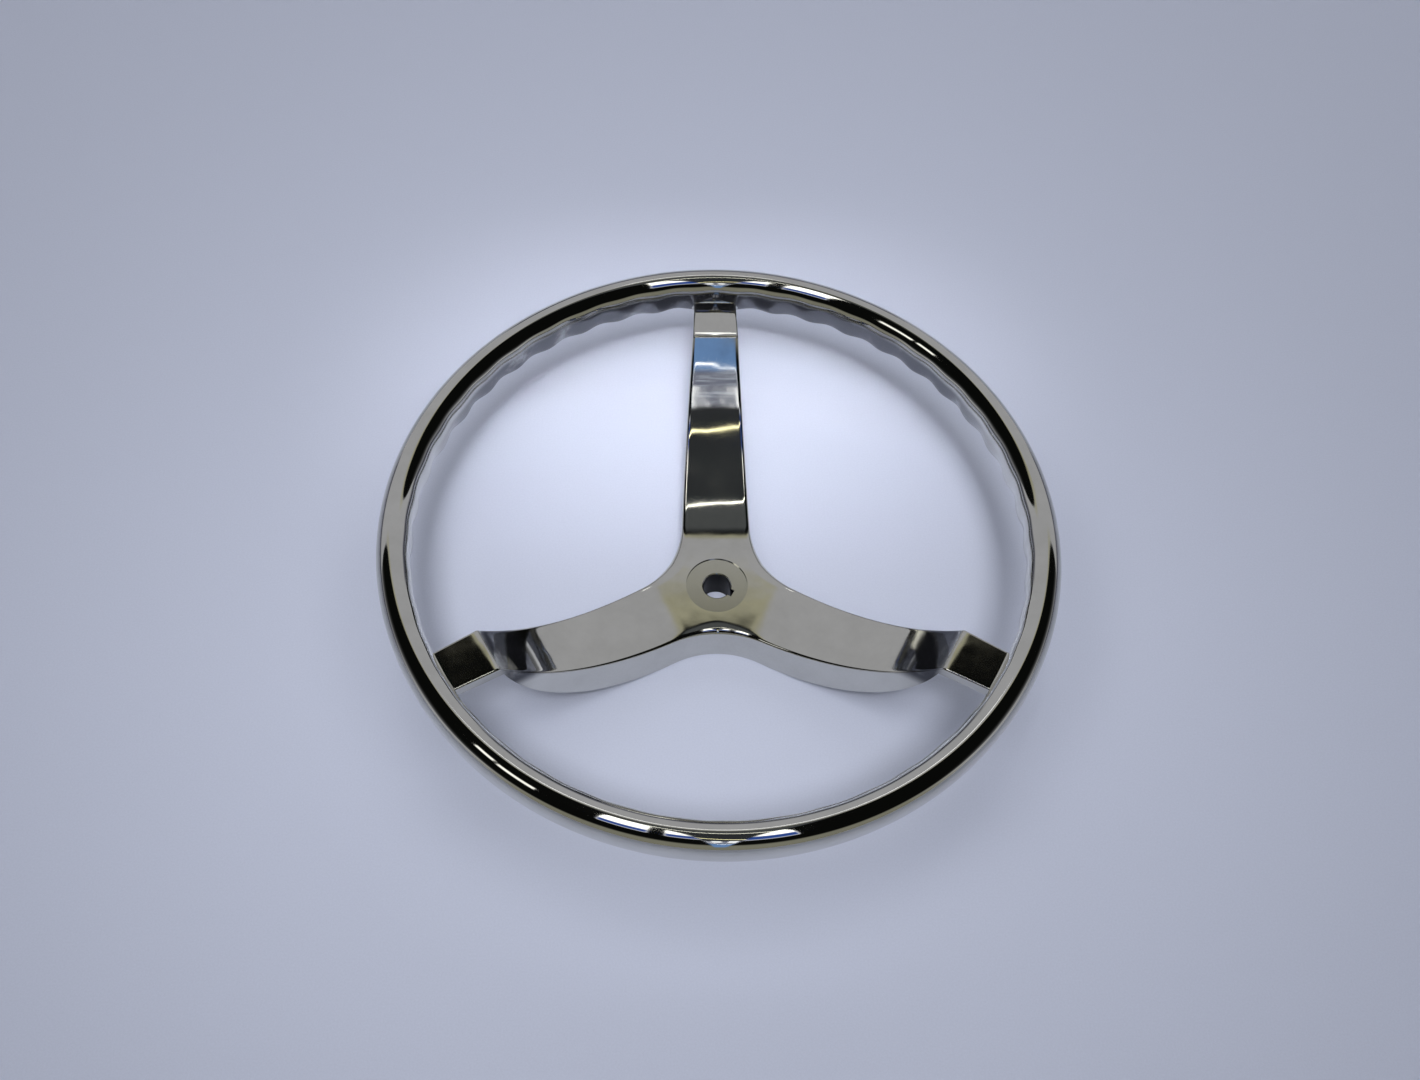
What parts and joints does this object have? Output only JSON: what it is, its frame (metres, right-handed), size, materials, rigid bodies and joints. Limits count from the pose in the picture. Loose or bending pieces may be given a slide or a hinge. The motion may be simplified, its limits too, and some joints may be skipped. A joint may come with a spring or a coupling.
{
  "type": "stainless boat steering wheel",
  "caption": "Dished boat steering wheel in polished stainless steel with a wavy finger-grip rim, channel-backed arms and a tapered, keyed hub bore.",
  "frame": {"origin": "on the helm shaft's axis in the plane of the hub's rear face, which the wheel stands on", "axes": "+Z along the shaft towards the person who steers; +Y along one arm"},
  "size_m": [0.3938, 0.3936, 0.0997],
  "materials": {
    "polished_rim": "mirror polished stainless steel",
    "polished_casting": "polished stainless steel casting"
  },
  "bodies": {
    "root": {"grip_rim": "polished_rim", "spoke_casting": "polished_casting"}
  },
  "joints": []
}
